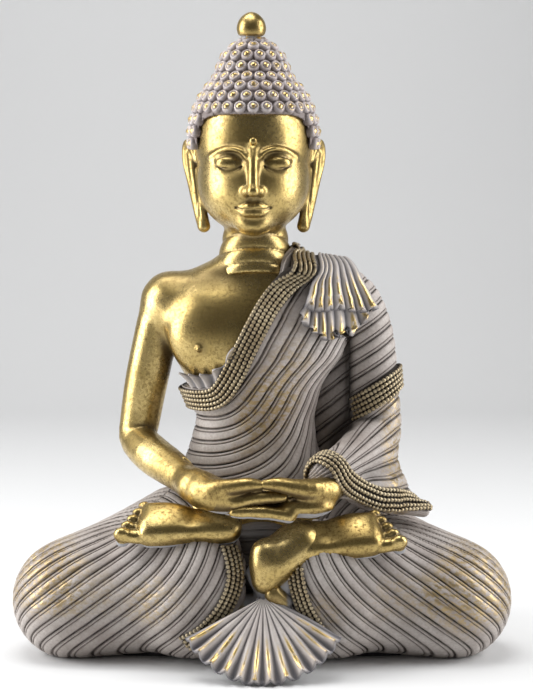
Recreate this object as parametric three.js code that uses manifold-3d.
// A seated meditating Buddha figure, about 300 mm tall, cast in resin in sections and pinned together.
// Millimetres, +Z up. X runs to the figure's left, the figure faces -Y, and the origin is on the
// underside of the felt, below the middle of the torso.
import * as THREE from "three";
import { ConvexGeometry } from "three/addons/geometries/ConvexGeometry.js";
import { mergeVertices } from "three/addons/utils/BufferGeometryUtils.js";
import Module from "manifold-3d";

const wasm = await Module();
wasm.setup();

// ---- Driving sizes ------------------------------------------------------------------------------

const GAP = 0.3; // clearance between one casting and the next
const kneeSpan = 232; // across both knees
const lapHeight = 76; // table to the top of the thighs
const hipToNeck = 108; // top of the thighs to the base of the neck
const neckHeight = 16; // base of the neck to under the jaw
const chinToCrown = 88; // under the jaw to the foot of the finial
const headWidth = 53; // across the face at the cheekbones
const hairOverhang = 6.5; // how far the hair stands out beyond each cheekbone
const shoulderSpan = 98; // between the middles of the two shoulder joints, robe left out
const chestDepth = 50; // front to back at the chest
const waistWidth = 57;
const chestWidth = 84;
const kneeReach = 28; // how far the knees lie in front of the torso's axis
const seatReach = 56; // how far the seat lies behind the torso's axis
const kneeRadius = 27;
const upperArmRadius = 10.8;
const wristRadius = 7;
const sleeveRadius = 13.6;
const finialHeight = 12;
const finialRadius = 6.9;
const robeThickness = 2.4;
const braidWidth = 8.5;
const braidThickness = 2.6;
const fanRadius = 41;
const fanSpread = THREE.MathUtils.degToRad(128);
const fanPleats = 12;
const pleatDepth = 2.6;
const fanThickness = 2.2;
const resinWall = 7; // of the hollow seat
const feltThickness = 1.5;
const feltProud = 0.5; // how far the felt stands below the castings' rims
const ventRadius = 7; // the pour hole in the seat's underside
const plugDepth = 9;
const pinRadius = 3;
const armPinRadius = 2;
const thinPinRadius = 1.5;
const curlRadius = 3.7;

const bodyX = -2; // the torso's axis
const headX = -4; // the head leans a little to the figure's right
const headY = -5;

// ---- Heights that follow from them --------------------------------------------------------------

const neckBase = lapHeight + hipToNeck;
const jawZ = neckBase + neckHeight;
const crownZ = jawZ + chinToCrown;
const kneeX = kneeSpan / 2 - kneeRadius;
const shoulderZ = neckBase - 23;
const waistZ = lapHeight + 0.3 * hipToNeck;
const breastZ = lapHeight + 0.57 * hipToNeck;
const feltTop = feltThickness + GAP;

// ---- Materials ----------------------------------------------------------------------------------

const gold = new THREE.MeshStandardMaterial({ color: 0xb08c3c, roughness: 0.32, metalness: 0.9 });
const cloth = new THREE.MeshStandardMaterial({ color: 0xb9b0a8, roughness: 0.6, metalness: 0.05 });
const braid = new THREE.MeshStandardMaterial({ color: 0x9c8f72, roughness: 0.5, metalness: 0.35 });
const curls = new THREE.MeshStandardMaterial({ color: 0xaea6a4, roughness: 0.6, metalness: 0.1 });
const felt = new THREE.MeshStandardMaterial({ color: 0x2a2522, roughness: 0.95, metalness: 0 });
const rubber = new THREE.MeshStandardMaterial({ color: 0x1c1c1c, roughness: 0.7, metalness: 0 });
const steel = new THREE.MeshStandardMaterial({ color: 0x8c8f94, roughness: 0.35, metalness: 0.9 });

// ---- Geometry to solids and back ----------------------------------------------------------------

function solid(geometry) {
  const bare = new THREE.BufferGeometry().setAttribute("position", geometry.getAttribute("position"));
  bare.setIndex(geometry.index);
  const merged = mergeVertices(bare, 1e-4);
  const mesh = new wasm.Mesh({
    numProp: 3,
    vertProperties: new Float32Array(merged.attributes.position.array),
    triVerts: new Uint32Array(merged.index.array),
  });
  return new wasm.Manifold(mesh);
}

function geometryOf(manifold) {
  const mesh = manifold.getMesh();
  const positions = new Float32Array(mesh.numVert * 3);
  for (let i = 0; i < mesh.numVert; i++)
    positions.set(mesh.vertProperties.subarray(i * mesh.numProp, i * mesh.numProp + 3), i * 3);
  const geometry = new THREE.BufferGeometry();
  geometry.setAttribute("position", new THREE.BufferAttribute(positions, 3));
  geometry.setIndex(new THREE.BufferAttribute(new Uint32Array(mesh.triVerts), 1));
  geometry.computeVertexNormals();
  return geometry;
}

// The biggest body of a solid, so that a cut leaves no loose shavings.
function largest(manifold) {
  const bodies = manifold.decompose();
  return bodies.reduce((best, body) => (body.volume() > best.volume() ? body : best));
}

const join = (...solids) => solids.reduce((a, b) => a.add(b));

// ---- Shapes. Each takes a last value, grow, that makes it that much bigger all round ------------

function unitBall(around, down) {
  const sphere = new THREE.SphereGeometry(1, around, down).getAttribute("position");
  return Array.from({ length: sphere.count }, (_, i) => new THREE.Vector3().fromBufferAttribute(sphere, i));
}
const smallBall = unitBall(8, 5);
const bigBall = unitBall(12, 7);
const bigFrom = 9; // radius from which a ball is the finer one

// The smooth skin stretched over some balls, each [x, y, z, radius] or [x, y, z, rx, ry, rz].
function hull(balls, grow = 0) {
  const points = [];
  for (const [x, y, z, rx, ry = rx, rz = rx] of balls)
    for (const p of Math.max(rx, rz) < bigFrom ? smallBall : bigBall)
      points.push(
        new THREE.Vector3(x + p.x * (rx + grow), y + p.y * (ry + grow), z + p.z * (rz + grow)),
      );
  return solid(new ConvexGeometry(points));
}

// A limb: each ball joined to the next.
function chain(balls, grow = 0) {
  return join(...balls.slice(1).map((ball, i) => hull([balls[i], ball], grow)));
}

function box(x0, y0, z0, x1, y1, z1) {
  const geometry = new THREE.BoxGeometry(x1 - x0, y1 - y0, z1 - z0);
  return solid(geometry.translate((x0 + x1) / 2, (y0 + y1) / 2, (z0 + z1) / 2));
}

// A round pin from one point to another.
function pin(from, to, radius, grow = 0) {
  const [a, b] = [new THREE.Vector3(...from), new THREE.Vector3(...to)];
  const along = b.clone().sub(a);
  const geometry = new THREE.CylinderGeometry(radius + grow, radius + grow, along.length() + 2 * grow, 16);
  const turn = new THREE.Quaternion().setFromUnitVectors(new THREE.Vector3(0, 1, 0), along.normalize());
  return solid(geometry.applyQuaternion(turn).translate(...a.add(b).multiplyScalar(0.5)));
}

// A flat plate from an outline, between two heights.
function plate(points, z0, z1, grow = 0) {
  const middle = points.reduce((sum, p) => sum.add(p), new THREE.Vector2()).divideScalar(points.length);
  const outline = points.map((p) => p.clone().add(p.clone().sub(middle).setLength(grow)));
  const edge = new THREE.SplineCurve([...outline, outline[0]]).getPoints(48);
  const shape = new THREE.Shape().setFromPoints(edge);
  const geometry = new THREE.ExtrudeGeometry(shape, { depth: z1 - z0 + 2 * grow, bevelEnabled: false });
  return solid(geometry.translate(0, 0, z0 - grow));
}

// A closed solid from its corners and triangles, turned inside out if they point inwards.
function closed(points, index) {
  const geometry = new THREE.BufferGeometry();
  geometry.setAttribute("position", new THREE.Float32BufferAttribute(points.flatMap((p) => p.toArray()), 3));
  geometry.setIndex(index);
  const made = solid(geometry);
  if (made.volume() > 0) return made;
  const turned = [];
  for (let i = 0; i < index.length; i += 3) turned.push(index[i], index[i + 2], index[i + 1]);
  geometry.setIndex(turned);
  return solid(geometry);
}

// The skin through a stack of rings of points, closed by a flat fan at each end.
function loft(rings) {
  const around = rings[0].length;
  const middle = (ring) => ring.reduce((sum, p) => sum.add(p), new THREE.Vector3()).divideScalar(around);
  const points = [...rings.flat(), middle(rings[0]), middle(rings[rings.length - 1])];
  const index = [];
  const at = (i, j) => i * around + (j % around);
  for (let j = 0; j < around; j++) {
    for (let i = 0; i < rings.length - 1; i++) {
      index.push(at(i, j), at(i, j + 1), at(i + 1, j + 1), at(i, j), at(i + 1, j + 1), at(i + 1, j));
    }
    index.push(points.length - 2, at(0, j + 1), at(0, j));
    index.push(points.length - 1, at(rings.length - 1, j), at(rings.length - 1, j + 1));
  }
  return closed(points, index);
}

// A closed solid between two grids of points, front[i][j] and back[i][j]. With wrap, j runs round.
function shell(front, back, wrap = false) {
  const rows = front.length;
  const columns = front[0].length;
  const index = [];
  const quad = (a, b, c, d) => index.push(a, b, c, a, c, d);
  const f = (i, j) => i * columns + (j % columns);
  const b = (i, j) => rows * columns + f(i, j);
  const across = wrap ? columns : columns - 1;
  for (let j = 0; j < across; j++) {
    for (let i = 0; i < rows - 1; i++) {
      quad(f(i, j), f(i, j + 1), f(i + 1, j + 1), f(i + 1, j));
      quad(b(i, j), b(i + 1, j), b(i + 1, j + 1), b(i, j + 1));
    }
    quad(f(0, j), b(0, j), b(0, j + 1), f(0, j + 1));
    quad(f(rows - 1, j), f(rows - 1, j + 1), b(rows - 1, j + 1), b(rows - 1, j));
  }
  const last = columns - 1;
  for (let i = 0; i < rows - 1 && !wrap; i++) {
    quad(f(i, 0), f(i + 1, 0), b(i + 1, 0), b(i, 0));
    quad(f(i, last), b(i, last), b(i + 1, last), f(i + 1, last));
  }
  return closed([...front.flat(), ...back.flat()], index);
}

// A flat band laid on a surface: it follows the points and stands off along the normals.
function band(points, normals, width, thickness, wrap, grow = 0) {
  const count = points.length;
  const low = [[], []];
  const high = [[], []];
  const half = width / 2 + grow;
  points.forEach((p, i) => {
    const before = points[wrap ? (i + count - 1) % count : Math.max(i - 1, 0)];
    const after = points[wrap ? (i + 1) % count : Math.min(i + 1, count - 1)];
    const side = new THREE.Vector3().subVectors(after, before).cross(normals[i]).normalize();
    const edge = (across, out) => p.clone().addScaledVector(side, across).addScaledVector(normals[i], out);
    [-half, half].forEach((across, k) => {
      low[k].push(edge(across, -grow));
      high[k].push(edge(across, thickness + grow));
    });
  });
  return shell(high, low, wrap);
}

// ---- Torso, robe and what lies on them ----------------------------------------------------------

// Height, middle x, middle y, half width and half depth of the torso, hips to neck.
const chest = chestWidth / 2;
const deep = chestDepth / 2;
const waist = waistWidth / 2;
const neckRadius = 18.5;
const torsoStations = [
  [lapHeight - 20, bodyX, 4, waist + 18, deep + 6],
  [lapHeight + 2, bodyX, 3, waist + 11, deep + 1],
  [(lapHeight + 2 + waistZ) / 2, bodyX - 1, 1, waist + 3.5, deep - 3],
  [waistZ, bodyX - 1, 0, waist, deep - 5],
  [(waistZ + breastZ) / 2, bodyX - 1, -1, (waist + chest) / 2 - 1, deep - 2],
  [breastZ, bodyX, -1, chest, deep],
  [shoulderZ - 6, bodyX, 0, chest + 5, deep],
  [shoulderZ + 6, bodyX, 1, chest + 5, deep - 4],
  [shoulderZ + 13, bodyX, 1, chest + 1, deep - 6],
  [shoulderZ + 17.5, bodyX, 1, chest - 6, deep - 7],
  [shoulderZ + 20.5, bodyX, 1, chest - 17, deep - 7],
  [neckBase, bodyX - 0.5, 1, neckRadius, neckRadius - 2],
];
const torsoSizes = new THREE.LinearInterpolant(
  torsoStations.map((s) => s[0]),
  torsoStations.flatMap((s) => s.slice(1)),
  4,
);

// A point on the torso at an angle round it and a height, standing off by a distance.
function onTorso(angle, z, out = 0) {
  const [x, y, rx, ry] = torsoSizes.evaluate(Math.min(z, neckBase - 1e-3));
  return new THREE.Vector3(x + (rx + out) * Math.cos(angle), y + (ry + out) * Math.sin(angle), z);
}

const roundSteps = 28;
const roundAngles = Array.from({ length: roundSteps }, (_, j) => (j / roundSteps) * 2 * Math.PI);

function torso(grow = 0) {
  const rings = torsoStations.map(([z]) => roundAngles.map((a) => onTorso(a, z, grow)));
  rings[0].forEach((p) => (p.z -= grow));
  rings[rings.length - 1].forEach((p) => (p.z += grow));
  return loft(rings);
}

// The robe's upper edge climbs from under the right arm to the left side of the neck.
const robeFoot = lapHeight + 4;
const robeLow = waistZ + 11;
const robeHigh = neckBase - 3;
const edgeAngle = THREE.MathUtils.degToRad(92);
const edgeSoftness = THREE.MathUtils.degToRad(9);
function robeEdge(angle) {
  const fromLeft = Math.abs(Math.atan2(Math.sin(angle), Math.cos(angle)));
  return robeLow + (robeHigh - robeLow) / (1 + Math.exp((fromLeft - edgeAngle) / edgeSoftness));
}

function robe(grow = 0) {
  const rows = 6;
  const grid = (out, lift) =>
    Array.from({ length: rows }, (_, i) =>
      roundAngles.map((a) => {
        const share = i / (rows - 1);
        const z = THREE.MathUtils.lerp(robeFoot - lift, robeEdge(a) + lift, share);
        return onTorso(a, z, out);
      }),
    );
  return shell(grid(GAP + robeThickness + grow, grow), grid(-robeThickness, grow), true);
}

function chestBraid(grow = 0) {
  const points = roundAngles.map((a) => onTorso(a, robeEdge(a) - braidWidth / 3, robeThickness - 2 * GAP));
  const normals = roundAngles.map((a) => {
    const [, , rx, ry] = torsoSizes.evaluate(Math.min(robeEdge(a), neckBase - 1e-3));
    const slope = robeEdge(a) > shoulderZ + 6 ? 0.9 : 0;
    return new THREE.Vector3(Math.cos(a) / rx, Math.sin(a) / ry, slope / rx).normalize();
  });
  return band(points, normals, braidWidth, braidThickness, true, grow);
}

// The gathered top of the under-robe, a row of rolled loops below the right breast.
function underarmFrill(grow = 0) {
  const loops = 5;
  const places = Array.from({ length: loops }, (_, i) => THREE.MathUtils.degToRad(-176 + i * 15.5));
  const parts = places.map((a) => {
    const foot = onTorso(a, robeEdge(a) - 2, 1);
    const head = onTorso(a, robeEdge(a) + 7, 3);
    return hull([[...foot.toArray(), 3.4], [...head.toArray(), 4.4, 4.4, 3]], grow);
  });
  return join(...parts);
}

// A pleated fan lying in a plane: apex, the direction of its middle, its face's normal.
function fan(apex, middle, normal, radius, spread, pleats, grow = 0, tip = 0) {
  const out = new THREE.Vector3(...normal).normalize();
  const down = new THREE.Vector3(...middle).normalize();
  const side = new THREE.Vector3().crossVectors(down, out).normalize();
  const facing = new THREE.Vector3().crossVectors(side, down).normalize();
  const columns = pleats * 2 + 1;
  const grid = (lift) =>
    [0.12, 0.55, 1].map((r) =>
      Array.from({ length: columns }, (_, j) => {
        const share = j / (columns - 1) - 0.5;
        const angle = share * (spread + (2 * grow) / radius);
        const ridge = (j % 2 ? pleatDepth : 0) * r;
        const reach = (radius + grow) * r * (1 + tip * (1 - 2 * Math.abs(share)) - tip);
        return new THREE.Vector3(...apex)
          .addScaledVector(down, Math.cos(angle) * reach)
          .addScaledVector(side, Math.sin(angle) * reach)
          .addScaledVector(facing, ridge + lift);
      }),
    );
  return shell(grid(grow), grid(-fanThickness - grow));
}

const leftShoulder = [bodyX + shoulderSpan / 2 - 3, 2, shoulderZ];
const shoulderFanTop = [leftShoulder[0] - 8, -14, shoulderZ + 17];
const shoulderFanUpper = (grow = 0) =>
  fan(shoulderFanTop, [0.18, -0.5, -1], [0.42, -1, 0.45], 33, THREE.MathUtils.degToRad(62), 8, grow);
const shoulderFanLower = (grow = 0) =>
  fan(
    [shoulderFanTop[0], shoulderFanTop[1] + 1, shoulderFanTop[2] - 1],
    [0.1, -0.36, -1], [0.42, -1, 0.3], 44, THREE.MathUtils.degToRad(56), 7, grow, 0.12,
  );

// ---- Arms and hands -----------------------------------------------------------------------------

const elbowZ = lapHeight + 21;
const rightShoulder = [bodyX - shoulderSpan / 2 + 5, 2, shoulderZ];
const rightElbow = [bodyX - shoulderSpan / 2 - 9, 4, elbowZ];
const leftElbow = [leftShoulder[0] + 9, 4, elbowZ];
const wristZ = lapHeight + 6;
const rightWrist = [-28, -48, wristZ];
const leftWrist = [27, -46, wristZ + 4];

const rightArm = (grow = 0) =>
  chain(
    [
      [...rightShoulder, upperArmRadius + 2.6],
      [rightShoulder[0] - 9, 3, (shoulderZ + elbowZ) / 2 + 2, upperArmRadius + 0.2],
      [...rightElbow, upperArmRadius - 0.8],
      [...rightWrist, wristRadius],
    ],
    grow,
  );

const leftSleeve = (grow = 0) =>
  join(
    chain(
      [
        [...leftShoulder, sleeveRadius + 0.4],
        [leftShoulder[0] + 7, 3, (shoulderZ + elbowZ) / 2 + 2, sleeveRadius],
        [...leftElbow, sleeveRadius],
        [30, -40, wristZ + 5, wristRadius + 2.5],
      ],
      grow,
    ),
    // the hem hangs from the forearm onto the thigh
    hull(
      [
        [34, -34, wristZ, 8],
        [leftElbow[0] - 2, 2, elbowZ - 8, sleeveRadius - 1],
        [66, -24, lapHeight - 10, 5],
      ],
      grow,
    ),
  );

const handX = 24; // how far the fingers reach past the middle
const palmThickness = 4.6;
function hand(wrist, side, z, tilt, grow = 0) {
  const fingers = [0, 1, 2, 3].map((i) => {
    const y = -60 + i * 4.9;
    return chain(
      [
        [side * 2, y + 1, z, 3],
        [side * -(handX - 8 - i * 1.2), y, z + tilt, 2.6],
      ],
      grow,
    );
  });
  const palm = hull(
    [
      [wrist[0] + side * -3, wrist[1] - 2, (wrist[2] + z) / 2, wristRadius - 1],
      [side * 13, -55, z, 10, 9.5, palmThickness],
      [side * 4, -54, z, 8, 9, palmThickness - 1],
    ],
    grow,
  );
  const thumb = chain(
    [[side * 20, -58, z + 4, 3.6], [side * 9, -61, z + 8, 2.8], [side * 1.8, -61, z + 9, 2.3]],
    grow,
  );
  return join(palm, thumb, ...fingers);
}

const rightHand = (grow = 0) => hand(rightWrist, -1, wristZ - 1, -1, grow);
const leftHand = (grow = 0) => {
  const z = wristZ - 8;
  const fingers = [0, 1, 2, 3].map((i) =>
    chain([[6, -58 + i * 4.9, z, 3], [-14 + i, -59 + i * 4.9, z - 0.5, 2.7]], grow),
  );
  const palm = hull(
    [[leftWrist[0] + 2, -49, wristZ, wristRadius - 0.5], [14, -54, z, 11, 10, palmThickness]],
    grow,
  );
  const thumb = chain([[24, -57, z + 7, 4], [13, -61, z + 14, 3], [3.4, -61, z + 16, 2.4]], grow);
  return join(palm, thumb, ...fingers);
};

function armbandBraid(grow = 0) {
  const middle = new THREE.Vector3(leftShoulder[0] + 8, 3, (shoulderZ + elbowZ) / 2 - 3);
  const tilt = 0.62;
  const points = [];
  const normals = [];
  for (let j = 0; j < 24; j++) {
    const a = (j / 24) * 2 * Math.PI;
    const n = new THREE.Vector3(Math.cos(a), Math.sin(a), 0);
    const p = middle.clone().addScaledVector(n, sleeveRadius + 0.6);
    points.push(p.setZ(p.z + Math.cos(a) * sleeveRadius * tilt));
    normals.push(n);
  }
  return band(points, normals, braidWidth, braidThickness, true, grow);
}

// The trim of the sleeve's hem, round the wrist and along the thigh.
function cuffBraid(grow = 0) {
  const way = [
    [14, -53, wristZ + 9], [22, -56, wristZ + 12], [31, -54, wristZ + 8], [41, -50, wristZ - 2],
    [53, -43, lapHeight - 3], [66, -36, lapHeight - 6], [77, -29, lapHeight - 10],
  ];
  const curve = new THREE.CatmullRomCurve3(way.map((p) => new THREE.Vector3(...p)));
  const points = curve.getPoints(18);
  const core = new THREE.Vector3(40, -20, lapHeight - 30);
  const normals = points.map((p) => p.clone().sub(core).normalize());
  return band(points, normals, braidWidth, braidThickness, false, grow);
}

// ---- Legs, feet and the seat --------------------------------------------------------------------

// One leg under the robe, hip, thigh, knee and folded shin. side is -1 for the right leg.
const leg = (side, grow = 0) =>
  hull(
    [
      [side * 36, 20, 36, 36],
      [side * 40, 2, lapHeight - 26, 26],
      [side * kneeX, -kneeReach, kneeRadius - 1.5, kneeRadius],
      [side * 34, -35, 30, 29.5],
      [side * 52, -37, lapHeight - 34, 15],
    ],
    grow,
  );
const rightLeg = (grow = 0) => leg(-1, grow);
const leftLeg = (grow = 0) => leg(1, grow);

const seat = (grow = 0) =>
  hull(
    [
      [bodyX, seatReach - 34, 24, 52, 34, 24],
      [bodyX, 10, lapHeight - 24, 44, 34, 22],
      [bodyX, -34, 30, 18, 18, 22],
    ],
    grow,
  );

const ankleZ = lapHeight - 28;
const rightShin = (grow = 0) => hull([[-16, -47, ankleZ - 5, 15], [6, -54, ankleZ + 1, 12.5]], grow);
const leftShin = (grow = 0) => chain([[26, -46, ankleZ - 16, 12], [9, -56, ankleZ - 14, 9]], grow);

// A foot with its sole up, heel to toes. The toes run from the big one in front to the small one behind.
function foot(heel, ball, rise, grow = 0) {
  const side = Math.sign(ball[0]);
  const toes = [0, 1, 2, 3, 4].map((i) => {
    const radius = 4.3 - 0.35 * i;
    const y = ball[1] - 10.5 + i * 5;
    const z = ball[2] - 3.5 + i * 2.3;
    const reach = 11.5 - 1.5 * i - (i === 0 ? 0.5 : 0);
    return chain([[ball[0] + side * 4, y, z - 1, radius], [ball[0] + side * reach, y, z, radius]], grow);
  });
  const sole = hull(
    [
      [...heel, 11, 10.5, 8.5],
      [(heel[0] + ball[0]) / 2, (heel[1] + ball[1]) / 2, (heel[2] + ball[2]) / 2 - 1, 9, 11, 7],
      [ball[0], ball[1] - 4, ball[2] - 2.5, 9, 9, 6.5],
      [ball[0], ball[1] + 6, ball[2] + rise, 8, 7, 5],
    ],
    grow,
  );
  return join(sole, ...toes);
}

const leftFoot = (grow = 0) => foot([-18, -52, lapHeight - 12], [-51, -50, lapHeight - 11], 3, grow);
const rightFoot = (grow = 0) => foot([19, -57, lapHeight - 19], [53, -52, lapHeight - 14], 3, grow);

// The trim of the robe's hem, which runs down the inner end of each leg.
function legBraid(side, way, grow = 0) {
  const curve = new THREE.CatmullRomCurve3(way.map((p) => new THREE.Vector3(...p)));
  const points = curve.getPoints(14);
  const core = new THREE.Vector3(side * 34, -35, 30);
  const normals = points.map((p) => p.clone().sub(core).normalize());
  return band(points, normals, braidWidth * 0.85, braidThickness, false, grow);
}
const rightLegBraid = (grow = 0) =>
  legBraid(-1, [[-16, -58, 52], [-12, -60, 40], [-16, -63, 28], [-28, -64.5, 17], [-42, -60, 9]], grow);
const leftLegBraid = (grow = 0) =>
  legBraid(1, [[20, -62, 45], [21, -63, 36], [26, -64.5, 26], [36, -64.5, 16.5], [46, -60, 8]], grow);

const fanApex = [0, -63, lapHeight / 2 - 4];
const frontFan = (grow = 0) =>
  fan(fanApex, [0, -0.62, -0.86], [0, -0.86, 0.62], fanRadius, fanSpread, fanPleats, grow);

// ---- Head ---------------------------------------------------------------------------------------

const faceZ = jawZ + 28; // middle of the face
const halfFace = headWidth / 2;

function head(grow = 0) {
  const skull = hull(
    [
      [headX, headY + 3, faceZ + 6, halfFace, 30, 26],
      [headX, headY - 14, faceZ - 19, 12, 13, 11],
      [headX, headY - 8, faceZ - 6, halfFace - 1, 24, 16],
    ],
    grow,
  );
  const nose = hull(
    [[headX, headY - 29, faceZ + 6, 2], [headX, headY - 32, faceZ - 6, 3.6, 4, 3]],
    grow,
  );
  return join(skull, nose, neck(grow));
}

// The neck, with its three folds, leaning forward.
function neck(grow = 0) {
  const low = neckBase - 9;
  const folds = 3;
  const height = jawZ + 6 - low;
  const profile = [new THREE.Vector2(0, -grow)];
  for (let i = 0; i < folds; i++) {
    const r = neckRadius + 1.2 - i * 2.3 + grow;
    const z = (i / folds) * height;
    profile.push(new THREE.Vector2(r - 1.2, z - (i ? 0 : grow)));
    profile.push(new THREE.Vector2(r, z + height / folds / 2));
  }
  profile.push(new THREE.Vector2(14 + grow, height + grow), new THREE.Vector2(0, height + grow));
  const geometry = new THREE.LatheGeometry(profile, 28).rotateX(Math.PI / 2 + 0.22);
  return solid(geometry.translate(bodyX - 0.8, 0, low));
}

const ear = (side, grow = 0) =>
  chain(
    [
      [headX + side * (halfFace + 5), 2, faceZ + 9, 2.6, 5.5, 6],
      [headX + side * (halfFace + 1.5), 1, faceZ - 9, 2.4, 5, 6],
      [headX + side * (halfFace - 3), -1, faceZ - 28, 4.2, 3.4, 4.4],
    ],
    grow,
  );
const rightEar = (grow = 0) => ear(-1, grow);
const leftEar = (grow = 0) => ear(1, grow);

const halfHair = halfFace + hairOverhang - curlRadius / 2;
const domeZ = faceZ + 15;
const domeHeight = 26;
const bunZ = crownZ - 16;
const bunRadius = 17.5;
const earTop = faceZ + 4;

// The cap of hair: a dome and a bun, with a window cut for the face.
function hairCap(grow = 0) {
  const dome = hull(
    [[headX, headY + 4, domeZ, halfHair, 33, domeHeight], [headX, headY + 12, faceZ - 12, 24, 20, 14]],
    grow,
  );
  const bun = hull([[headX - 0.5, headY + 4, bunZ, bunRadius, bunRadius, 15]], grow);
  const window = hull(
    [[headX, -44, faceZ + 12, halfFace + 2, 30, 9], [headX, -44, faceZ - 10, halfFace + 2, 30, 12]],
  );
  const under = box(-60, -80, 0, 60, headY + 8, earTop);
  return join(dome, bun, curlRows()).subtract(window).subtract(under);
}

// Snail curls, in rows round the dome and the bun.
function curlRows() {
  const rows = [
    [domeZ - 8, halfHair, 33, 0.94, 20],
    [domeZ, halfHair, 33, 1, 20],
    [domeZ + 8, halfHair, 33, 0.95, 18],
    [domeZ + 16, halfHair, 33, 0.79, 15],
    [bunZ - 7, bunRadius, bunRadius, 0.96, 10],
    [bunZ + 1, bunRadius, bunRadius, 1, 9],
    [bunZ + 8.5, bunRadius, bunRadius, 0.82, 7],
  ];
  const curlAt = ([z, rx, ry, share, count], row) =>
    Array.from({ length: count }, (_, i) => {
      const a = ((i + (row % 2) / 2) / count) * 2 * Math.PI;
      const geometry = new THREE.OctahedronGeometry(curlRadius, 0);
      const [x, y] = [headX + rx * share * Math.cos(a), headY + 4 + ry * share * Math.sin(a)];
      return solid(geometry.translate(x, y, z));
    });
  return wasm.Manifold.union(rows.flatMap(curlAt));
}

function finial(grow = 0) {
  const profile = [
    [0, 0], [0.55, 0.02], [0.94, 0.2], [1, 0.42], [0.86, 0.68], [0.5, 0.91], [0.2, 0.99], [0, 1],
  ];
  const [radius, height] = [finialRadius + grow, finialHeight + 2 * grow];
  const points = profile.map(([r, z]) => new THREE.Vector2(r * radius, z * height - grow));
  points[0].x = 0;
  points[points.length - 1].x = 0;
  const geometry = new THREE.LatheGeometry(points, 24).rotateX(Math.PI / 2);
  return solid(geometry.translate(headX - 1, headY + 3, crownZ));
}

const urna = (grow = 0) => hull([[headX, headY - 27.6, faceZ + 13, 1.9]], grow);

// ---- Base ---------------------------------------------------------------------------------------

const baseOutline = [[0, -32], [34, -37], [66, -35], [86, -28], [78, -12], [54, 8], [34, 25], [0, 32]];
const mirrored = baseOutline.slice(1, -1).reverse().map(([x, y]) => [-x, y]);
const footprint = [...baseOutline, ...mirrored].map(([x, y]) => new THREE.Vector2(x, y));
const feltPad = (grow = 0) => plate(footprint, 0, feltThickness, grow);
const vent = [0, 12];
const ventPlug = (grow = 0) => pin([...vent, feltTop], [...vent, feltTop + plugDepth], ventRadius, grow);

// ---- Pins ---------------------------------------------------------------------------------------

const pins = {
  neck_pin: [[bodyX - 1, 0, neckBase - 24], [bodyX - 1, -2, jawZ + 12], pinRadius],
  finial_pin: [[headX - 1, headY + 3, crownZ - 9], [headX - 1, headY + 3, crownZ + 7], thinPinRadius],
  right_shoulder_pin: [
    [rightShoulder[0] + 14, 2, shoulderZ - 4],
    [rightShoulder[0] - 4, 2, shoulderZ - 4],
    armPinRadius,
  ],
  left_shoulder_pin: [
    [leftShoulder[0] - 14, 2, shoulderZ - 4],
    [leftShoulder[0] + 4, 2, shoulderZ - 4],
    armPinRadius,
  ],
  right_waist_pin: [[bodyX - 18, 4, lapHeight - 30], [bodyX - 18, 4, lapHeight], pinRadius],
  left_waist_pin: [[bodyX + 18, 4, lapHeight - 30], [bodyX + 18, 4, lapHeight], pinRadius],
  right_hip_pin: [[-38, 8, 26], [-62, 0, 26], pinRadius],
  left_hip_pin: [[38, 8, 26], [62, 0, 26], pinRadius],
};

// ---- Assembly -----------------------------------------------------------------------------------

// Every piece in the order that it is cut: a later one gives way to each earlier one, by GAP.
const pieces = [
  ["felt_pad", felt, feltPad],
  ["vent_plug", rubber, ventPlug],
  ...Object.entries(pins).map(([name, [from, to, radius]]) => [
    name,
    steel,
    (grow = 0) => pin(from, to, radius, grow),
  ]),
  ["torso_casting", gold, torso],
  ["seat_casting", cloth, seat],
  ["right_arm", gold, rightArm],
  ["right_foot", gold, rightFoot],
  ["left_foot", gold, leftFoot],
  ["right_hand", gold, rightHand],
  ["left_hand", gold, leftHand],
  ["chest_braid", braid, chestBraid],
  ["shoulder_fan_upper", cloth, shoulderFanUpper],
  ["shoulder_fan_lower", cloth, shoulderFanLower],
  ["armband_braid", braid, armbandBraid],
  ["cuff_braid", braid, cuffBraid],
  ["left_sleeve", cloth, leftSleeve],
  ["robe_drape", cloth, robe],
  ["underarm_frill", cloth, underarmFrill],
  ["right_leg_braid", braid, rightLegBraid],
  ["left_leg_braid", braid, leftLegBraid],
  ["right_shin", gold, rightShin],
  ["left_shin", gold, leftShin],
  ["front_fan", cloth, frontFan],
  ["right_leg", cloth, rightLeg],
  ["left_leg", cloth, leftLeg],
  ["head", gold, head],
  ["right_ear", gold, rightEar],
  ["left_ear", gold, leftEar],
  ["finial", gold, finial],
  ["hair_cap", curls, hairCap],
  ["urna", gold, urna],
];

function overlapping(a, b) {
  const [one, two] = [a.boundingBox(), b.boundingBox()];
  return [0, 1, 2].every((k) => one.min[k] < two.max[k] && two.min[k] < one.max[k]);
}

// The seat is cast hollow, and its hollow opens at the pour hole.
const hollowTop = lapHeight - 36;
const aboveHollow = box(-kneeSpan, -kneeSpan, hollowTop, kneeSpan, kneeSpan, crownZ);
const seatHollow = () => seat(-resinWall).subtract(aboveHollow);
const floorCut = box(-kneeSpan, -kneeSpan, -kneeSpan, kneeSpan, kneeSpan, feltProud);

const root = new THREE.Group();
const taken = [];
for (const [name, material, shape] of pieces) {
  let made = shape();
  const nearby = taken.filter((other) => overlapping(other.grown, made));
  for (const other of nearby) made = made.subtract(other.grown);
  if (name === "seat_casting") made = made.subtract(seatHollow());
  if (name !== "felt_pad") made = made.subtract(floorCut);
  taken.push({ name, grown: shape(GAP) });
  const mesh = new THREE.Mesh(geometryOf(largest(made)), material);
  mesh.name = name;
  root.add(mesh);
}

export default root;
